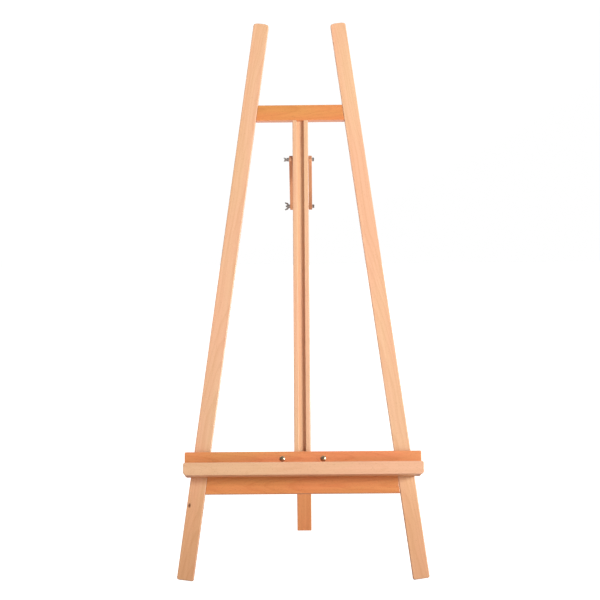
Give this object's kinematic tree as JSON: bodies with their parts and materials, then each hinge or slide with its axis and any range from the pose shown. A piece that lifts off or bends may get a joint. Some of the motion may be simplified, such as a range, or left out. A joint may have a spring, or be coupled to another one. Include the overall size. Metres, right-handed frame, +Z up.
{
  "type": "lyre easel",
  "caption": "Floor-standing lyre easel with splayed front legs, a grooved mast, a canvas tray that slides on it, and a rear leg on pivoting arms that folds flat.",
  "frame": {"origin": "on the floor, at the middle of the footprint of the open easel", "axes": "+Z up; the easel faces -Y, so the canvas side looks along -Y; +X is to the right seen from the front"},
  "size_m": [0.6686, 0.7098, 1.5301],
  "materials": {
    "pale_wood": "satin clear-coated beech",
    "red_wood": "satin clear-coated redder beech",
    "arm_wood": "satin clear-coated beech",
    "steel": "zinc-plated steel",
    "brass": "polished yellow-plated steel"
  },
  "bodies": {
    "front_frame": {"left_leg": "pale_wood", "right_leg": "pale_wood", "top_rail": "red_wood", "bottom_rail": "red_wood", "mast": "pale_wood", "bottom_rail_dowel_left_lower": "pale_wood", "bottom_rail_dowel_left_upper": "pale_wood", "bottom_rail_dowel_right_lower": "pale_wood", "bottom_rail_dowel_right_upper": "pale_wood", "top_rail_dowel_left_lower": "pale_wood", "top_rail_dowel_left_upper": "pale_wood", "top_rail_dowel_right_lower": "pale_wood", "top_rail_dowel_right_upper": "pale_wood", "mast_dowel_bottom_left": "pale_wood", "mast_dowel_bottom_right": "pale_wood", "mast_dowel_top_left": "pale_wood", "mast_dowel_top_right": "pale_wood"},
    "arms": {"left_arm": "arm_wood", "right_arm": "arm_wood", "arm_bolt": "steel", "leg_bolt": "steel", "arm_washer_left": "steel", "arm_washer_right": "steel", "leg_washer_left": "steel", "leg_washer_right": "steel"},
    "arm_wing_nut": {"arm_wing_nut": "steel"},
    "leg_wing_nut": {"leg_wing_nut": "steel"},
    "rear_leg": {"rear_leg": "red_wood"},
    "tray": {"tray_back": "red_wood", "tray_shelf": "pale_wood", "tray_lip": "pale_wood", "tray_cleat": "red_wood", "carriage_bolt_left": "brass", "carriage_bolt_right": "brass", "tray_washer_left": "steel", "tray_washer_right": "steel", "tray_screw_1": "steel", "tray_screw_2": "steel", "tray_screw_3": "steel", "tray_screw_4": "steel", "lip_dowel_1": "pale_wood", "lip_dowel_2": "pale_wood", "lip_dowel_3": "pale_wood", "lip_dowel_4": "pale_wood"},
    "tray_wing_nut_left": {"tray_wing_nut_left": "steel"},
    "tray_wing_nut_right": {"tray_wing_nut_right": "steel"}
  },
  "joints": [
    {"name": "arm_pivot", "type": "hinge", "parent": "front_frame", "child": "arms", "pos_m": [0, -0.03726, 1.13235], "axis": [1, 0, 0], "range_deg": [-42, 8]},
    {"name": "rear_leg_pivot", "type": "hinge", "parent": "arms", "child": "rear_leg", "pos_m": [0, 0.09143, 1.00365], "axis": [1, 0, 0], "range_deg": [-3, 13.5]},
    {"name": "tray_slide", "type": "slide", "parent": "front_frame", "child": "tray", "axis": [0, 0.2588, 0.9659], "range_m": [0, 0.5]},
    {"name": "arm_wing_nut_turn", "type": "hinge", "parent": "arms", "child": "arm_wing_nut", "pos_m": [-0.0345, -0.03726, 1.13235], "axis": [-1, 0, 0], "continuous": true},
    {"name": "leg_wing_nut_turn", "type": "hinge", "parent": "arms", "child": "leg_wing_nut", "pos_m": [-0.0345, 0.09143, 1.00365], "axis": [-1, 0, 0], "continuous": true},
    {"name": "tray_wing_nut_left_turn", "type": "hinge", "parent": "tray", "child": "tray_wing_nut_left", "pos_m": [-0.0535, -0.2317, 0.30239], "axis": [0, 0.9659, -0.2588], "continuous": true},
    {"name": "tray_wing_nut_right_turn", "type": "hinge", "parent": "tray", "child": "tray_wing_nut_right", "pos_m": [0.0565, -0.2317, 0.30239], "axis": [0, 0.9659, -0.2588], "continuous": true}
  ],
  "couplings": [
    {"joint": "rear_leg_pivot", "follows": "arm_pivot", "ratio": -0.3048}
  ]
}
